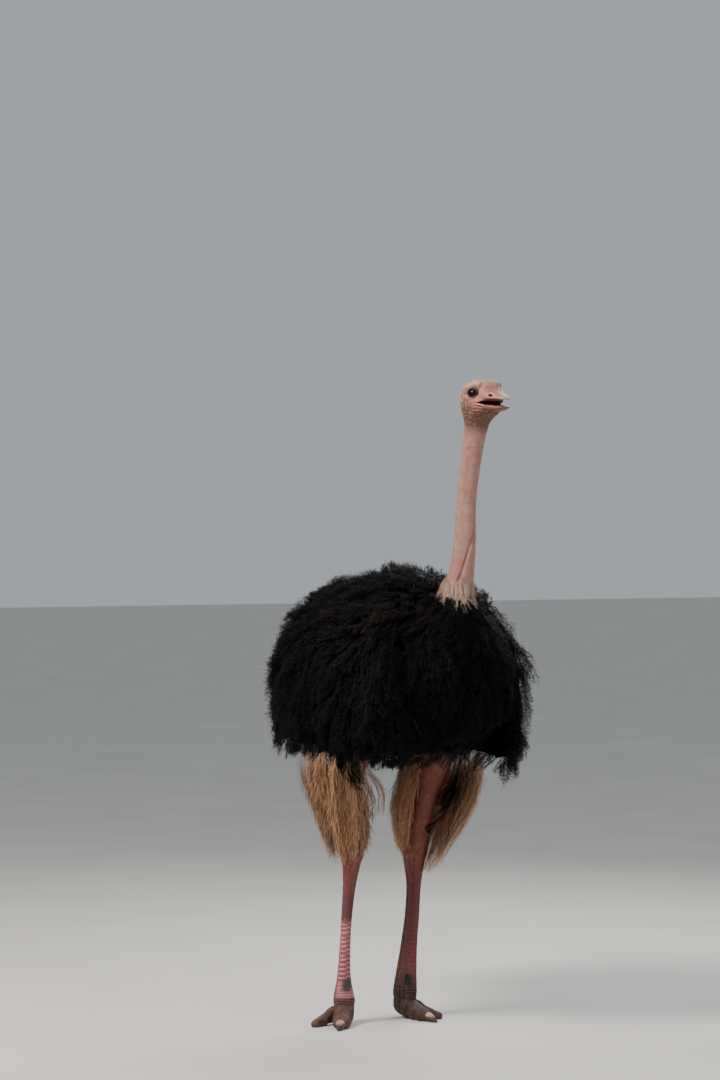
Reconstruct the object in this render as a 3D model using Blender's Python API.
"""A standing male ostrich, life size, as a still museum model.

Metres, +Z up. The bird faces -Y and its left side is +X. Each part of the body is
one closed solid whose surface is the outer outline of its skin or feathers.
"""

import math

import bmesh
import bpy
import numpy as np
from mathutils import Matrix, Vector

# ---- driving dimensions -------------------------------------------------------------

GAP = 0.0004  # clearance between neighbouring solids

# The body as sections from the rump to the neck: the back's y and z, the belly's y and z,
# half the width, and how far the widest level lies below the middle (share of the half width).
TRUNK = (
    (0.500, 1.22, 0.495, 1.14, 0.03, 0.00),
    (0.478, 1.38, 0.470, 1.04, 0.125, 0.00),
    (0.400, 1.505, 0.380, 0.975, 0.198, 0.03),
    (0.225, 1.587, 0.215, 0.935, 0.260, 0.06),
    (0.030, 1.630, 0.040, 0.920, 0.300, 0.08),
    (-0.150, 1.632, -0.130, 0.925, 0.320, 0.08),
    (-0.270, 1.602, -0.300, 0.955, 0.312, 0.07),
    (-0.325, 1.572, -0.440, 1.03, 0.275, 0.05),
    (-0.340, 1.550, -0.535, 1.14, 0.215, 0.03),
    (-0.345, 1.540, -0.575, 1.26, 0.155, 0.00),
    (-0.347, 1.540, -0.555, 1.375, 0.108, 0.00),
    (-0.350, 1.550, -0.495, 1.465, 0.074, 0.00),
    (-0.355, 1.565, -0.468, 1.53, 0.055, 0.00),
)
# The neck, in the same way, up to the back of the head.
NECK = (
    (-0.355, 1.565, -0.468, 1.53, 0.055, 0.0),
    (-0.392, 1.64, -0.486, 1.62, 0.0450, 0.0),
    (-0.414, 1.74, -0.4955, 1.73, 0.0400, 0.0),
    (-0.4255, 1.86, -0.4985, 1.853, 0.0368, 0.0),
    (-0.4425, 1.97, -0.5180, 1.963, 0.0378, 0.0),
    (-0.4590, 2.06, -0.5410, 2.053, 0.0400, 0.0),
    (-0.4690, 2.12, -0.5640, 2.118, 0.0445, 0.0),
)
NECK_LENGTHS = ("neck_lower", "neck_middle", "neck_upper")

# The head in its own frame. Each section: forward and up from HEAD_MIDDLE at the crown, the
# same at the throat, half the width, and the drop of the widest level as for the trunk.
HEAD_MIDDLE = (0.0, -0.567, 2.234)
HEAD_PITCH = math.radians(3)  # the bill points a little up
HEAD_TURN = math.radians(-3)  # and a little to the bird's right
HEAD = (
    (-0.098, -0.058, 0.012, -0.092, 0.0545, 0.00),
    (-0.092, -0.016, 0.036, -0.084, 0.0595, -0.05),
    (-0.073, 0.022, 0.051, -0.079, 0.0620, -0.13),
    (-0.038, 0.042, 0.058, -0.076, 0.0600, -0.14),
    (0.000, 0.046, 0.060, -0.073, 0.0560, -0.12),
    (0.029, 0.037, 0.057, -0.069, 0.0500, -0.06),
)
BILL_UPPER = (
    (0.033, 0.0350, 0.040, -0.0305, 0.0480, -0.05),
    (0.052, 0.0150, 0.053, -0.0325, 0.0420, 0.00),
    (0.076, -0.0040, 0.077, -0.0350, 0.0340, 0.00),
    (0.104, -0.0165, 0.102, -0.0370, 0.0272, 0.00),
    (0.122, -0.0245, 0.121, -0.0385, 0.0180, 0.00),
    (0.1315, -0.0320, 0.1315, -0.0395, 0.0060, 0.00),
)
BILL_LOWER = (
    (0.034, -0.0430, 0.058, -0.0730, 0.0465, 0.00),
    (0.058, -0.0490, 0.067, -0.0745, 0.0400, 0.00),
    (0.084, -0.0545, 0.083, -0.0735, 0.0320, 0.00),
    (0.108, -0.0590, 0.105, -0.0710, 0.0240, 0.00),
    (0.122, -0.0620, 0.120, -0.0680, 0.0160, 0.00),
    (0.1280, -0.0635, 0.1280, -0.0665, 0.0060, 0.00),
)
EYE_RADIUS = 0.0220
EYE_PLACE = (0.0400, 0.004, -0.0065)  # an eyeball's middle from HEAD_MIDDLE: outward, back, up

# A wing lies on the body's side between two sections of TRUNK, from one angle below the
# back's ridge to another, then hangs free to its hem.
WING_FRONT = 7.6
WING_REAR = 1.35
WING_TOP = math.radians(24)
WING_HOLD = math.radians(93)
WING_DEPTH = 0.080  # at the middle of the wing
WING_RIM = 0.012
WING_HEM_Z = {"R": (0.925, 0.958), "L": (0.868, 0.950)}  # front and rear ends of the hem
WING_CORNER = {"R": 0.045, "L": 0.015}  # how much the hem's front corner is rounded up
WING_REAR_CORNER = 0.06
WING_FLARE = {"R": -0.010, "L": 0.030}  # the left wing's hem is held a little further out

# A leg from the body down: the middle's x (away from the body's middle), y and z, half the
# size across and half the size fore and aft.
THIGH = {
    "R": (
        (0.184, -0.064, 1.060, 0.078, 0.098),
        (0.192, -0.048, 0.970, 0.060, 0.076),
        (0.190, -0.031, 0.870, 0.0465, 0.0575),
        (0.172, -0.012, 0.770, 0.0430, 0.0510),
        (0.152, 0.002, 0.680, 0.0430, 0.0520),
        (0.146, 0.012, 0.612, 0.0410, 0.0500),
    ),
    "L": (
        (0.152, -0.092, 1.060, 0.086, 0.106),
        (0.147, -0.078, 0.970, 0.075, 0.094),
        (0.140, -0.057, 0.870, 0.058, 0.072),
        (0.136, -0.022, 0.770, 0.0470, 0.0580),
        (0.138, 0.006, 0.680, 0.0440, 0.0540),
        (0.1375, 0.018, 0.603, 0.0405, 0.0505),
    ),
}
# From the ankle to the toe joint: the middle's x, y and z, half across, half fore and aft.
SHANK = {
    "R": (
        (0.146, 0.012, 0.612, 0.0410, 0.0500),
        (0.1425, 0.021, 0.565, 0.0325, 0.0410),
        (0.1410, 0.037, 0.480, 0.0238, 0.0295),
        (0.142, 0.051, 0.370, 0.0205, 0.0290),
        (0.143, 0.059, 0.260, 0.0210, 0.0350),
        (0.144, 0.063, 0.165, 0.0265, 0.0420),
        (0.1440, 0.063, 0.090, 0.0395, 0.0450),
        (0.145, 0.061, 0.060, 0.0300, 0.0360),
    ),
    "L": (
        (0.1375, 0.018, 0.603, 0.0405, 0.0505),
        (0.134, 0.018, 0.560, 0.0330, 0.0430),
        (0.1325, 0.018, 0.480, 0.0245, 0.0305),
        (0.1290, 0.024, 0.370, 0.0230, 0.0310),
        (0.1255, 0.038, 0.260, 0.0225, 0.0380),
        (0.1240, 0.051, 0.165, 0.0300, 0.0455),
        (0.1235, 0.059, 0.090, 0.0395, 0.0490),
        (0.124, 0.056, 0.060, 0.0300, 0.0360),
    ),
}
LEG_TURN = {"R": math.radians(44), "L": math.radians(6)}  # how far the shank and foot point outwards
TOE_JOINT = {"R": (0.145, 0.066), "L": (0.124, 0.060)}
OUTER_TOE_TURN = {"R": 0.0, "L": math.radians(-18)}  # the left foot's toes lie closer together
# A toe from its joint: forward, outward, height of its middle, half the width and height.
TOE_INNER = (
    (-0.036, -0.001, 0.055, 0.018, 0.024),
    (-0.026, -0.001, 0.052, 0.0325, 0.0385),
    (0.000, -0.002, 0.049, 0.0375, 0.0450),
    (0.034, -0.004, 0.038, 0.0360, 0.0395),
    (0.068, -0.006, 0.0265, 0.0325, 0.0320),
    (0.098, -0.008, 0.0215, 0.0305, 0.0265),
    (0.122, -0.009, 0.018, 0.0265, 0.0215),
    (0.135, -0.009, 0.016, 0.0200, 0.0155),
)
TOE_OUTER = (
    (0.004, 0.022, 0.046, 0.012, 0.022),
    (0.022, 0.034, 0.039, 0.018, 0.026),
    (0.046, 0.052, 0.026, 0.0185, 0.0240),
    (0.068, 0.068, 0.017, 0.0175, 0.0200),
    (0.090, 0.081, 0.014, 0.0150, 0.0170),
    (0.106, 0.089, 0.0125, 0.0095, 0.0120),
)
CLAW = (
    (0.126, -0.009, 0.0200, 0.0175, 0.0135),
    (0.144, -0.009, 0.0150, 0.0155, 0.0165),
    (0.162, -0.009, 0.0095, 0.0110, 0.0115),
    (0.176, -0.009, 0.0045, 0.0045, 0.0055),
)

# The pale plumes hang from each wing round its leg. First the angles, from straight ahead
# outwards, then rows of a height and the outer radius from the leg's middle at each angle.
PLUME_ANGLES = {"R": (8, 80, 140, 225), "L": (44, 90, 150, 228)}
PLUMES = {
    "R": (
        (0.940, 0.120, 0.196, 0.196, 0.124),
        (0.885, 0.104, 0.172, 0.175, 0.118),
        (0.800, 0.084, 0.142, 0.146, 0.106),
        (0.720, 0.074, 0.124, 0.126, 0.090),
        (0.650, 0.066, 0.104, 0.108, 0.076),
        (0.600, 0.060, 0.085, 0.088, 0.064),
        (0.565, 0.052, 0.062, 0.066, 0.056),
    ),
    "L": (
        (0.940, 0.185, 0.215, 0.215, 0.108),
        (0.885, 0.200, 0.215, 0.205, 0.112),
        (0.800, 0.200, 0.205, 0.180, 0.112),
        (0.710, 0.175, 0.175, 0.145, 0.098),
        (0.630, 0.134, 0.130, 0.108, 0.080),
        (0.575, 0.108, 0.105, 0.082, 0.060),
        (0.535, 0.080, 0.078, 0.064, 0.054),
    ),
}
PLUME_CLEAR = 0.008  # between the leg and the plumes
# The tail hangs over the rump: sections from its top to its tip, outer edge then inner.
TAIL = (
    (0.300, 1.555, 0.300, 1.30, 0.100, 0.0),
    (0.400, 1.510, 0.330, 1.27, 0.135, 0.0),
    (0.485, 1.430, 0.350, 1.20, 0.155, 0.0),
    (0.538, 1.315, 0.360, 1.15, 0.165, 0.0),
    (0.560, 1.190, 0.370, 1.08, 0.155, 0.0),
    (0.548, 1.075, 0.390, 1.03, 0.125, 0.0),
    (0.505, 0.985, 0.440, 0.98, 0.060, 0.0),
)

COLOURS = {  # base colour and roughness
    "black_plumage": ((0.018, 0.016, 0.016), 0.85),
    "pale_plumage": ((0.52, 0.40, 0.29), 0.85),
    "neck_skin": ((0.52, 0.33, 0.29), 0.7),
    "leg_skin": ((0.42, 0.17, 0.14), 0.65),
    "foot_scales": ((0.30, 0.18, 0.15), 0.6),
    "bill_horn": ((0.55, 0.32, 0.26), 0.45),
    "claw_horn": ((0.16, 0.12, 0.10), 0.4),
    "eye": ((0.03, 0.018, 0.012), 0.08),
}


# ---- tools --------------------------------------------------------------------------


def clear_scene():
    for thing in list(bpy.data.objects):
        bpy.data.objects.remove(thing)


def new_collection(name):
    collection = bpy.data.collections.new(name)
    bpy.context.scene.collection.children.link(collection)
    return collection


def material(name):
    found = bpy.data.materials.get(name)
    if found:
        return found
    colour, roughness = COLOURS[name]
    made = bpy.data.materials.new(name)
    made.use_nodes = True
    shader = made.node_tree.nodes["Principled BSDF"]
    shader.inputs["Base Color"].default_value = (*colour, 1.0)
    shader.inputs["Roughness"].default_value = roughness
    shader.inputs["Metallic"].default_value = 0.0
    return made


def between(rows, at):
    """Smooth (Catmull-Rom) values of the rows' columns at the row numbers in at."""
    rows = np.array(rows, float)
    at = np.clip(np.asarray(at, float), 0, len(rows) - 1)
    low = np.minimum(at.astype(int), len(rows) - 2)
    part = (at - low)[..., None]
    a, b, c, d = (rows[np.clip(low + k, 0, len(rows) - 1)] for k in (-1, 0, 1, 2))
    square = 2 * a - 5 * b + 4 * c - d
    cube = 3 * b - a - 3 * c + d
    return 0.5 * (2 * b + (c - a) * part + square * part**2 + cube * part**3)


def section_points(rows, at, angle, square=1.0):
    """Points on sections of the body: angle 0 is the back's ridge, a quarter turn the left side.

    The sections are ovals. Where square is below 1 their corners are filled out.
    """
    back_y, back_z, belly_y, belly_z, half, drop = np.moveaxis(between(rows, at), -1, 0)
    sine, cosine = (np.sign(part) * np.abs(part) ** square for part in (np.sin(angle), np.cos(angle)))
    down = (1 - cosine) / 2
    x = half * sine * (1 - drop * cosine)
    y = back_y + (belly_y - back_y) * down
    z = back_z + (belly_z - back_z) * down
    return np.stack([x, y, z], axis=-1)


def section_rings(rows, first, last, rings, sides, squareness=None):
    at, angle = np.meshgrid(
        np.linspace(first, last, rings), np.linspace(0, 2 * math.pi, sides, endpoint=False), indexing="ij"
    )
    square = squareness(at, angle) if squareness else 1.0
    return section_points(rows, at, angle, square)


def outward(side):
    return -1.0 if side == "R" else 1.0


def finish_mesh(name, work, colour, collection):
    bmesh.ops.triangulate(work, faces=work.faces)
    bmesh.ops.recalc_face_normals(work, faces=work.faces)
    mesh = bpy.data.meshes.new(name)
    work.to_mesh(mesh)
    work.free()
    mesh.shade_smooth()
    mesh.materials.append(material(colour))
    thing = bpy.data.objects.new(name, mesh)
    collection.objects.link(thing)
    return thing


def loft(name, rings, colour, collection):
    """A closed solid through rings of points, with a flat cap at each end."""
    sides = rings.shape[1]
    work = bmesh.new()
    verts = [[work.verts.new(point) for point in ring] for ring in rings]
    for low, high in zip(verts[:-1], verts[1:]):
        for k in range(sides):
            after = (k + 1) % sides
            work.faces.new((low[k], low[after], high[after], high[k]))
    work.faces.new(verts[0])
    work.faces.new(verts[-1])
    return finish_mesh(name, work, colour, collection)


def rim_places(rows, columns):
    """The places round the edge of a grid, in order."""
    top = [(0, j) for j in range(columns - 1)]
    right = [(i, columns - 1) for i in range(rows - 1)]
    bottom = [(rows - 1, j) for j in range(columns - 1, 0, -1)]
    left = [(i, 0) for i in range(rows - 1, 0, -1)]
    return top + right + bottom + left


def slab(name, inner, outer, colour, collection):
    """A closed solid between two grids of points that share their layout."""
    rows, columns = inner.shape[:2]
    work = bmesh.new()
    low = [[work.verts.new(point) for point in line] for line in inner]
    high = [[work.verts.new(point) for point in line] for line in outer]
    for sheet in (low, high):
        for i in range(rows - 1):
            for j in range(columns - 1):
                below, above = sheet[i], sheet[i + 1]
                work.faces.new((below[j], above[j], above[j + 1], below[j + 1]))
    rim = rim_places(rows, columns)
    for (i, j), (m, n) in zip(rim, rim[1:] + rim[:1]):
        work.faces.new((low[i][j], low[m][n], high[m][n], high[i][j]))
    return finish_mesh(name, work, colour, collection)


def grown(source, distance, cutters):
    """A copy of a solid, larger by distance all round, kept as a cutter."""
    mesh = source.data.copy()
    normals = [vertex.normal.copy() for vertex in mesh.vertices]
    for vertex, normal in zip(mesh.vertices, normals):
        vertex.co = vertex.co + normal * distance
    cutter = bpy.data.objects.new(source.name + "_clearance", mesh)
    cutter.hide_render = True
    cutter.display_type = "WIRE"
    cutters.objects.link(cutter)
    return cutter


def cut(thing, cutter):
    modifier = thing.modifiers.new("clear of " + cutter.name, "BOOLEAN")
    modifier.operation = "DIFFERENCE"
    modifier.solver = "EXACT"
    modifier.object = cutter


# ---- neck and head ------------------------------------------------------------------


def turn_head(points):
    """Turns points about the neck's upright axis, smoothly more towards the head."""
    share = np.clip((points[..., 2] - 1.95) / 0.2, 0, 1)
    angle = HEAD_TURN * share * share * (3 - 2 * share)
    axis_y = -0.525
    x, y = points[..., 0], points[..., 1] - axis_y
    turned = points.copy()
    turned[..., 0] = x * np.cos(angle) - y * np.sin(angle)
    turned[..., 1] = x * np.sin(angle) + y * np.cos(angle) + axis_y
    return turned


def make_neck(bird):
    """Three lengths of one tapering tube, with thin cuts between them."""
    rows = (len(NECK) - 1) / len(NECK_LENGTHS)
    part = GAP / 0.11  # the sections of NECK are about 0.11 m apart
    for number, name in enumerate(NECK_LENGTHS):
        first = number * rows + part
        last = (number + 1) * rows - part
        loft(name, turn_head(section_rings(NECK, first, last, 7, 18)), "neck_skin", bird)


def head_sections(rows):
    """Sections given in the head's own frame, as sections in the bird's frame."""
    rows = np.array(rows, float)
    made = []
    for column in (0, 2):
        forward, up = rows[:, column], rows[:, column + 1]
        along = forward * math.cos(HEAD_PITCH) - up * math.sin(HEAD_PITCH)
        rise = forward * math.sin(HEAD_PITCH) + up * math.cos(HEAD_PITCH)
        made += [HEAD_MIDDLE[1] - along, HEAD_MIDDLE[2] + rise]
    return np.stack([*made, rows[:, 4], rows[:, 5]], axis=1)


def head_squareness(at, angle):
    """From a round neck to a head whose crown is broad and flat between the brows."""
    rise = np.clip((at - 1.3) / 1.3, 0, 1)
    crown = np.clip(0.5 + np.cos(angle) / 0.6, 0, 1)
    return 1 - rise * (0.12 + 0.26 * crown)


def make_eye(side, bird):
    bpy.ops.mesh.primitive_uv_sphere_add(segments=14, ring_count=8, radius=EYE_RADIUS)
    eye = bpy.context.object
    eye.name = "eye_" + side
    eye.data.name = eye.name
    out, back, up = EYE_PLACE
    place = np.array([outward(side) * out, HEAD_MIDDLE[1] + back, HEAD_MIDDLE[2] + up])
    eye.data.transform(Matrix.Translation(Vector(turn_head(place))))
    for owner in list(eye.users_collection):
        owner.objects.unlink(eye)
    bird.objects.link(eye)
    eye.data.materials.append(material("eye"))
    eye.data.shade_smooth()
    return eye


def make_head(bird, cutters):
    rows = np.vstack([NECK[-2:], head_sections(HEAD)])
    part = GAP / 0.06
    rings = section_rings(rows, 1 + part, len(rows) - 1, 14, 18, head_squareness)
    head = loft("head", turn_head(rings), "neck_skin", bird)
    for side in "RL":
        cut(head, grown(make_eye(side, bird), GAP, cutters))
    for name, sections in (("bill_upper", BILL_UPPER), ("bill_lower", BILL_LOWER)):
        rings = section_rings(head_sections(sections), 0, len(sections) - 1, 10, 14)
        bill = loft(name, turn_head(rings), "bill_horn", bird)
        cut(bill, grown(head, GAP, cutters))


# ---- trunk, wings and tail ----------------------------------------------------------


def make_trunk(bird):
    rings = section_rings(TRUNK, 0, len(TRUNK) - 1, 19, 24)
    return loft("trunk", rings, "black_plumage", bird)


def body_normals(at, angle):
    """Unit vectors square to the trunk's surface, outwards."""
    step = 0.01
    along = section_points(TRUNK, at + step, angle) - section_points(TRUNK, at - step, angle)
    round_it = section_points(TRUNK, at, angle + step) - section_points(TRUNK, at, angle - step)
    normal = np.cross(along, round_it)
    return normal / np.linalg.norm(normal, axis=-1, keepdims=True)


def wing_surface(side, u, v, lift):
    """Points of a wing: u runs from its front to its rear, v from its top to its hem."""
    on_body = np.clip(2 * v, 0, 1)
    hang = np.clip(2 * v - 1, 0, 1)
    rear = WING_REAR + 0.2 * hang**2  # the rear edge slopes forward towards the hem
    at = WING_FRONT + (rear - WING_FRONT) * u
    top = WING_TOP + math.radians(20) * u**6
    angle = top + (WING_HOLD - top) * on_body
    base = section_points(TRUNK, at, angle)
    front_z, rear_z = WING_HEM_Z[side]
    hem_z = front_z + (rear_z - front_z) * u
    hem_z = hem_z + WING_CORNER[side] * (1 - u) ** 6 + WING_REAR_CORNER * u**9
    base[..., 0] *= 1 - (0.10 + 0.25 * (1 - u) ** 4) * hang**2
    base[..., 0] += WING_FLARE[side] * hang * (1 - u**2)
    base[..., 2] += (hem_z - base[..., 2]) * hang
    points = base + lift * body_normals(at, angle)
    points[..., 0] *= outward(side)
    return points


def wing_lift(u, v):
    """How far the wing's outside stands out: a low swelling, thin all round its rim."""
    swelling = (np.sin(math.pi * u) * np.sin(math.pi * v)) ** 0.55
    return WING_RIM + WING_DEPTH * swelling * (0.22 + 0.90 * v)


def make_wing(side, trunk_clearance, bird):
    u, v = np.meshgrid(np.linspace(0, 1, 11), np.linspace(0, 1, 10), indexing="ij")
    inner = wing_surface(side, u, v, -0.03)
    outer = wing_surface(side, u, v, wing_lift(u, v)[..., None])
    wing = slab("wing_" + side, inner, outer, "black_plumage", bird)
    cut(wing, trunk_clearance)
    return wing


def make_tail(clearances, bird):
    tail = loft("tail", section_rings(TAIL, 0, len(TAIL) - 1, 10, 14), "pale_plumage", bird)
    for clearance in clearances:
        cut(tail, clearance)


# ---- legs ---------------------------------------------------------------------------


def leg_rings(side, rows, turns, sides):
    """Level oval rings down a leg, each turned outwards by its own angle."""
    angle = np.linspace(0, 2 * math.pi, sides, endpoint=False)
    rings = []
    for (x, y, z, across, along), turn in zip(rows, turns):
        beside, ahead = across * np.sin(angle), along * np.cos(angle)
        out = x + beside * math.cos(turn) + ahead * math.sin(turn)
        back = y + beside * math.sin(turn) - ahead * math.cos(turn)
        rings.append(np.stack([outward(side) * out, back, z + 0 * angle], axis=1))
    return np.array(rings)


def make_thigh(side, trunk_clearance, bird):
    share = np.linspace(0, 1, 10)
    rows = between(THIGH[side], share * (len(THIGH[side]) - 1))
    rings = leg_rings(side, rows, LEG_TURN[side] * share**2, 14)
    thigh = loft("thigh_" + side, rings, "leg_skin", bird)
    cut(thigh, trunk_clearance)
    return thigh


def make_shank(side, bird):
    rows = between(SHANK[side], np.linspace(0, len(SHANK[side]) - 1, 13))
    rows[0, 2] -= GAP
    rings = leg_rings(side, rows, [LEG_TURN[side]] * len(rows), 16)
    return loft("shank_" + side, rings, "foot_scales", bird)


def toe_rings(side, rows, count, sides, extra_turn=0.0):
    """Upright rings across a toe. Points that would pass below the floor are laid flat on it."""
    rows = between(rows, np.linspace(0, len(rows) - 1, count))
    turn = LEG_TURN[side] + extra_turn
    ahead = np.array([outward(side) * math.sin(turn), -math.cos(turn), 0.0])
    beside = np.array([outward(side) * math.cos(turn), math.sin(turn), 0.0])
    x, y = outward(side) * TOE_JOINT[side][0], TOE_JOINT[side][1]
    angle = np.linspace(0, 2 * math.pi, sides, endpoint=False)[:, None]
    rings = []
    for forward, out, height, half, tall in rows:
        middle = np.array([x, y, height]) + ahead * forward + beside * out
        ring = middle + beside * half * np.sin(angle) + np.array([0, 0, tall]) * np.cos(angle)
        ring[:, 2] = np.maximum(ring[:, 2], 0.0)
        rings.append(ring)
    return np.array(rings)


def make_foot(side, shank, bird, cutters):
    """Two toes under the shank, and the great nail of the inner toe."""
    inner = loft("toe_inner_" + side, toe_rings(side, TOE_INNER, 12, 16), "foot_scales", bird)
    rings = toe_rings(side, TOE_OUTER, 9, 12, OUTER_TOE_TURN[side])
    outer = loft("toe_outer_" + side, rings, "foot_scales", bird)
    claw = loft("claw_" + side, toe_rings(side, CLAW, 7, 10), "claw_horn", bird)
    shank_clearance = grown(shank, GAP, cutters)
    inner_clearance = grown(inner, GAP, cutters)
    cut(inner, shank_clearance)
    cut(outer, shank_clearance)
    cut(outer, inner_clearance)
    cut(claw, inner_clearance)


def make_plumes(side, clearances, bird):
    """A curtain of long plumes round the outer and rear sides of a leg."""
    table = between(PLUMES[side], np.linspace(0, len(PLUMES[side]) - 1, 9))
    angles = np.radians(PLUME_ANGLES[side])
    angle = np.linspace(angles[0], angles[-1], 11)
    leg = np.array(THIGH[side])[::-1]
    inner, outer = [], []
    for z, *radii in table:
        x, y, across, along = (np.interp(z, leg[:, 2], leg[:, k]) for k in (0, 1, 3, 4))
        reach = np.interp(angle, angles, radii)
        near = np.hypot(across * np.sin(angle), along * np.cos(angle)) + PLUME_CLEAR
        far = np.maximum(reach, near + 0.006)
        for radius, lines in ((near, inner), (far, outer)):
            px = outward(side) * (x + radius * np.sin(angle))
            lines.append(np.stack([px, y - radius * np.cos(angle), z + 0 * angle], axis=1))
    plumes = slab("wing_plumes_" + side, np.array(inner), np.array(outer), "pale_plumage", bird)
    for clearance in clearances:
        cut(plumes, clearance)


# ---- the bird -----------------------------------------------------------------------


def centre_on_floor(*collections):
    """Moves everything so that the bird's box stands centred on the origin."""
    shown = [v.co for thing in collections[0].objects for v in thing.data.vertices]
    points = np.array(shown)
    low, high = points.min(axis=0), points.max(axis=0)
    middle = Vector(((low[0] + high[0]) / 2, (low[1] + high[1]) / 2, low[2]))
    for collection in collections:
        for thing in collection.objects:
            thing.data.transform(Matrix.Translation(-middle))
    print("moved by", tuple(round(-value, 5) for value in middle))


def main():
    clear_scene()
    bird = new_collection("ostrich_figure")
    cutters = new_collection("cutters")
    make_neck(bird)
    make_head(bird, cutters)
    trunk_clearance = grown(make_trunk(bird), GAP, cutters)
    wings = {}
    for side in "RL":
        wing = make_wing(side, trunk_clearance, bird)
        wings[side] = grown(wing, GAP, cutters)
    make_tail((trunk_clearance, wings["R"], wings["L"]), bird)
    for side in "RL":
        thigh = make_thigh(side, trunk_clearance, bird)
        cut(thigh, wings[side])
        make_plumes(side, (trunk_clearance, wings[side]), bird)
        make_foot(side, make_shank(side, bird), bird, cutters)
    centre_on_floor(bird, cutters)


main()
